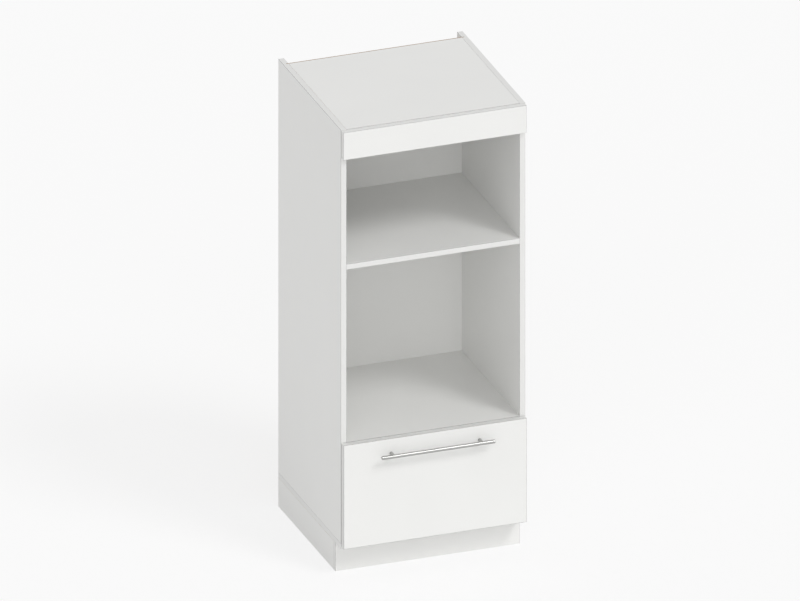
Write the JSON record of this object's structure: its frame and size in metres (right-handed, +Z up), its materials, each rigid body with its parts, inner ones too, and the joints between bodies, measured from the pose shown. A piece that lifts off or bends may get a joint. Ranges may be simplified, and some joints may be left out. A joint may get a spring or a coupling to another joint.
{
  "type": "microwave cabinet",
  "caption": "Tall white kitchen housing with open oven and microwave niches, a blind top fascia, a deep drawer with a bar handle on ball-bearing runners, and a set-back plinth.",
  "frame": {"origin": "centre of the overall width and depth, with the drawer closed, at floor level", "axes": "+Z up, +X to the right when facing the cabinet from the front, -Y to the front: the fascia, drawer and handle face -Y"},
  "size_m": [0.6, 0.6134, 1.504],
  "materials": {
    "white_board": "white melamine-faced chipboard, satin",
    "white_hardboard": "white lacquered thin hardboard, satin",
    "white_edge_band": "white glued edge band, satin",
    "cam_metal": "die-cast zinc alloy, dull",
    "screw_steel": "bright zinc plated",
    "bracket_steel": "bright zinc plated",
    "runner_steel": "bright zinc plated, rolled",
    "ball_steel": "polished bearing steel",
    "cage_plastic": "moulded black plastic",
    "beech": "bare beech",
    "buffer": "soft translucent",
    "handle_steel": "satin brushed"
  },
  "bodies": {
    "carcass": {"side_left": "white_board", "side_right": "white_board", "bottom_panel": "white_board", "top_panel": "white_board", "microwave_shelf": "white_board", "oven_shelf": "white_board", "back_panel": "white_hardboard", "top_fascia": "white_board", "fascia_edge_bands": "white_edge_band", "carcass_edge_bands": "white_edge_band", "plinth_front": "white_board", "plinth_left": "white_board", "plinth_right": "white_board", "plinth_back": "white_board", "plinth_edge_bands": "white_edge_band", "cam_locks": "cam_metal", "cam_bolts": "screw_steel", "wood_dowels": "beech", "base_screws": "screw_steel", "back_panel_screws": "screw_steel", "fascia_brackets": "bracket_steel", "plinth_brackets": "bracket_steel", "bracket_screws": "screw_steel", "runner_cabinet_left": "runner_steel", "runner_cabinet_right": "runner_steel", "runner_cabinet_screws": "screw_steel"},
    "outer_cages": {"outer_ball_cages": "cage_plastic", "outer_balls": "ball_steel"},
    "runner_middles": {"runner_middle_left": "runner_steel", "runner_middle_right": "runner_steel"},
    "inner_cages": {"inner_ball_cages": "cage_plastic", "inner_balls": "ball_steel"},
    "drawer": {"runner_drawer_left": "runner_steel", "runner_drawer_right": "runner_steel", "runner_drawer_screws": "screw_steel", "drawer_side_left": "white_board", "drawer_side_right": "white_board", "drawer_inner_front": "white_board", "drawer_back": "white_board", "drawer_bottom": "white_hardboard", "drawer_edge_bands": "white_edge_band", "drawer_box_screws": "screw_steel", "drawer_bottom_screws": "screw_steel", "drawer_front": "white_board", "drawer_front_edge_bands": "white_edge_band", "front_fixing_screws": "screw_steel", "front_buffers": "buffer", "handle_bar": "handle_steel", "handle_posts": "handle_steel", "handle_screws": "screw_steel"}
  },
  "joints": [
    {"name": "drawer_slide", "type": "slide", "parent": "carcass", "child": "drawer", "axis": [0, -1, 0], "range_m": [0, 0.5]},
    {"name": "runner_middle_slide", "type": "slide", "parent": "carcass", "child": "runner_middles", "axis": [0, -1, 0], "range_m": [0, 0.25]},
    {"name": "outer_cage_slide", "type": "slide", "parent": "carcass", "child": "outer_cages", "axis": [0, -1, 0], "range_m": [0, 0.125]},
    {"name": "inner_cage_slide", "type": "slide", "parent": "carcass", "child": "inner_cages", "axis": [0, -1, 0], "range_m": [0, 0.375]}
  ],
  "couplings": [
    {"joint": "runner_middle_slide", "follows": "drawer_slide", "ratio": 0.5},
    {"joint": "outer_cage_slide", "follows": "drawer_slide", "ratio": 0.25},
    {"joint": "inner_cage_slide", "follows": "drawer_slide", "ratio": 0.75}
  ]
}
